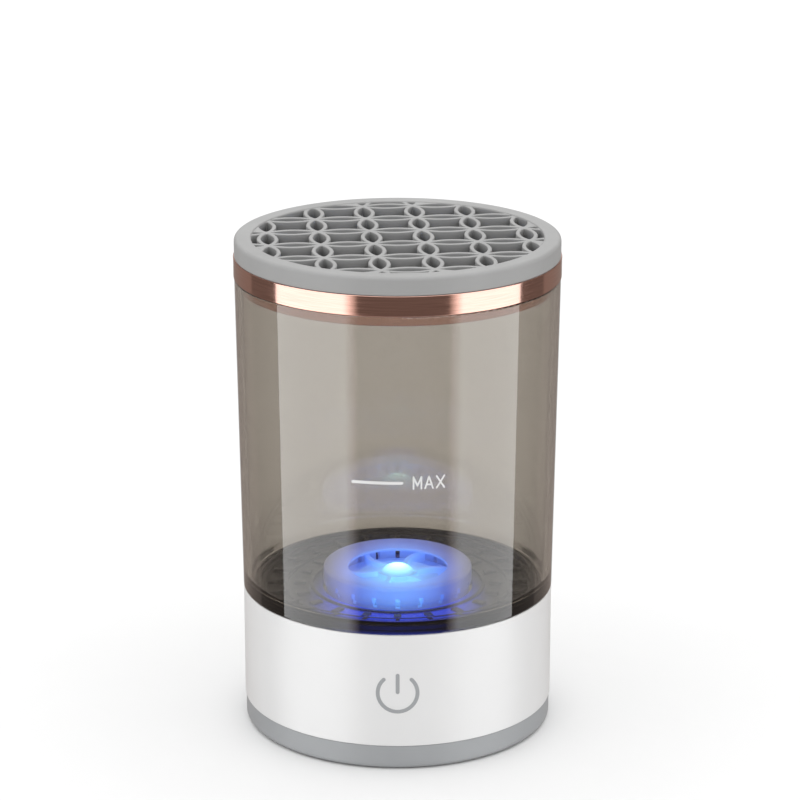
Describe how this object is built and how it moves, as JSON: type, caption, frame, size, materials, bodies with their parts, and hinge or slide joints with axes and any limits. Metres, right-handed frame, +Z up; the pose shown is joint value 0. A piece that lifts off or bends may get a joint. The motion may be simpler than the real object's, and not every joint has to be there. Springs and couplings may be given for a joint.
{
  "type": "make-up brush cleaner",
  "caption": "Cylindrical electric make-up brush cleaner: smoked tank with a magnet-driven impeller on a white motor base, closed by a soft lattice lid on a rose-gold ring.",
  "frame": {"origin": "centre of the face it stands on", "axes": "+Z up along the common axis of tank, motor and lid; -Y towards the front with the power symbol; +Y towards the back with the charging port"},
  "size_m": [0.0982, 0.0982, 0.1522],
  "materials": {
    "white_shell": "satin",
    "grey_foot": "matt",
    "grey_silicone": "matt",
    "dark_rubber": "matt",
    "rose_gold": "polished",
    "smoked_clear": "clear, smoked",
    "dark_plastic": "matt",
    "milky_clear": "frosted",
    "lens_clear": "clear",
    "white_plastic": "matt",
    "green_board": "satin",
    "black_parts": "satin",
    "lamp_body": "satin",
    "steel": "plain",
    "magnet_plate": "nickel plated",
    "ferrite": "matt",
    "brass": "plain",
    "copper": "enamelled",
    "cell_wrap": "shrink sleeve",
    "red_wire": "satin",
    "black_wire": "satin",
    "white_wire": "satin"
  },
  "bodies": {
    "base": {"base_housing": "white_shell", "bottom_cover": "grey_foot", "non_slip_ring": "dark_rubber", "cover_screws": "steel", "deck_plate": "dark_plastic", "deck_gasket": "dark_rubber", "light_window": "milky_clear", "chassis_plate": "white_plastic", "chassis_screws": "steel", "led_board": "green_board", "led_board_screws": "steel", "leds": "lamp_body", "motor_can": "steel", "motor_bushing": "brass", "motor_end_cap": "black_parts", "motor_terminals": "brass", "motor_magnets": "ferrite", "motor_screws": "steel", "main_board": "green_board", "board_components": "black_parts", "board_connectors": "lamp_body", "board_screws": "steel", "usb_port_shell": "steel", "usb_port_tongue": "black_parts", "touch_electrode": "copper", "battery_cell": "cell_wrap", "battery_cradle": "black_parts", "motor_leads": "red_wire", "battery_leads": "black_wire", "led_leads": "white_wire", "touch_lead": "white_wire"},
    "rotor": {"motor_shaft": "steel", "armature_core": "steel", "armature_windings": "copper", "commutator": "copper", "drive_disc": "white_plastic", "drive_magnets": "magnet_plate"},
    "tank": {"tank_cup": "smoked_clear", "scrub_ring": "dark_plastic", "impeller_guard": "milky_clear", "pivot_pin": "steel"},
    "impeller": {"impeller": "milky_clear", "impeller_bush": "white_plastic", "impeller_magnets": "magnet_plate", "magnet_cover": "white_plastic", "hub_lens": "lens_clear"},
    "lid": {"trim_ring": "rose_gold", "lattice_cap": "grey_silicone"}
  },
  "joints": [
    {"name": "tank_lift", "type": "slide", "parent": "base", "child": "tank", "axis": [0, 0, 1], "range_m": [0, 0.05]},
    {"name": "lid_lift", "type": "slide", "parent": "tank", "child": "lid", "axis": [0, 0, 1], "range_m": [0, 0.06]},
    {"name": "rotor_spin", "type": "hinge", "parent": "base", "child": "rotor", "pos_m": [0, 0, 0.02], "axis": [0, 0, 1], "continuous": true},
    {"name": "impeller_spin", "type": "hinge", "parent": "tank", "child": "impeller", "pos_m": [0, 0, 0.044], "axis": [0, 0, 1], "continuous": true}
  ],
  "couplings": [
    {"joint": "impeller_spin", "follows": "rotor_spin", "ratio": 1}
  ]
}
